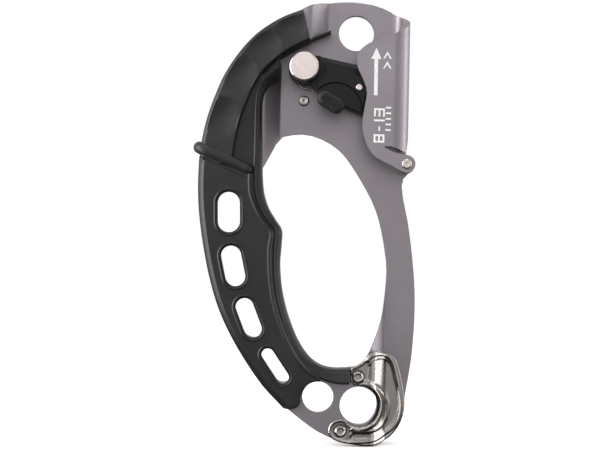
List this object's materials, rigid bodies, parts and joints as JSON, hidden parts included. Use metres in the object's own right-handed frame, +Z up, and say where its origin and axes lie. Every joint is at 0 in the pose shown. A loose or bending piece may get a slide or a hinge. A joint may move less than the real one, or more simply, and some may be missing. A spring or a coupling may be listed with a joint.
{
  "type": "handled rope ascender",
  "caption": "Handled rope ascender: folded aluminium frame with a rope channel, toothed sprung cam, safety catch, roller, moulded grip and carabiner eye.",
  "frame": {"origin": "on the rope's axis in the channel, at the height of the cam axle", "axes": "+Z up along the rope, +X from the handle towards the rope channel's wall, front (cam and flap) facing -Y"},
  "size_m": [0.1074, 0.0284, 0.2114],
  "materials": {
    "frame_aluminium": "grey anodised, satin",
    "grip_moulding": "black moulded, satin",
    "grip_rubber": "black moulded rubber, satin",
    "stainless": "pressed stainless sheet, satin",
    "fastener_steel": "bright steel",
    "pin_steel": "turned stainless steel",
    "black_steel": "black coated steel, satin",
    "bush_bronze": "plain bronze",
    "spring_steel": "drawn spring wire",
    "pad_moulding": "black knurled, matte"
  },
  "bodies": {
    "root": {"frame": "frame_aluminium", "lower_grip": "grip_moulding", "upper_grip": "grip_rubber", "grip_ring": "grip_rubber", "wear_plate": "stainless", "wear_plate_screw_upper": "fastener_steel", "wear_plate_screw_lower": "fastener_steel", "wear_plate_nut_upper": "fastener_steel", "wear_plate_nut_lower": "fastener_steel", "cam_axle": "pin_steel", "cam_axle_washer": "fastener_steel", "stop_pin": "pin_steel", "roller_axle": "pin_steel", "roller_washer_front": "fastener_steel", "roller_washer_rear": "fastener_steel"},
    "cam": {"cam": "black_steel", "cam_bush": "bush_bronze", "cam_spring": "spring_steel", "catch_pin": "pin_steel"},
    "catch": {"safety_catch": "black_steel", "thumb_pad": "pad_moulding", "catch_spring": "spring_steel"},
    "roller": {"roller": "pin_steel"}
  },
  "joints": [
    {"name": "cam_pivot", "type": "hinge", "parent": "root", "child": "cam", "pos_m": [-0.0393, 0, 0], "axis": [0, 1, 0], "range_deg": [0, 58], "stiffness_Nm_per_rad": 0.08, "springref_deg": -28.65, "deforming": ["cam_spring"]},
    {"name": "catch_pivot", "type": "hinge", "parent": "cam", "child": "catch", "pos_m": [-0.0132, 0, -0.0089], "axis": [0, -1, 0], "range_deg": [0, 10], "stiffness_Nm_per_rad": 0.02, "springref_deg": -22.92, "deforming": ["catch_spring"]},
    {"name": "roller_spin", "type": "hinge", "parent": "root", "child": "roller", "pos_m": [0.0094, 0, -0.0446], "axis": [0, 1, 0], "continuous": true}
  ]
}
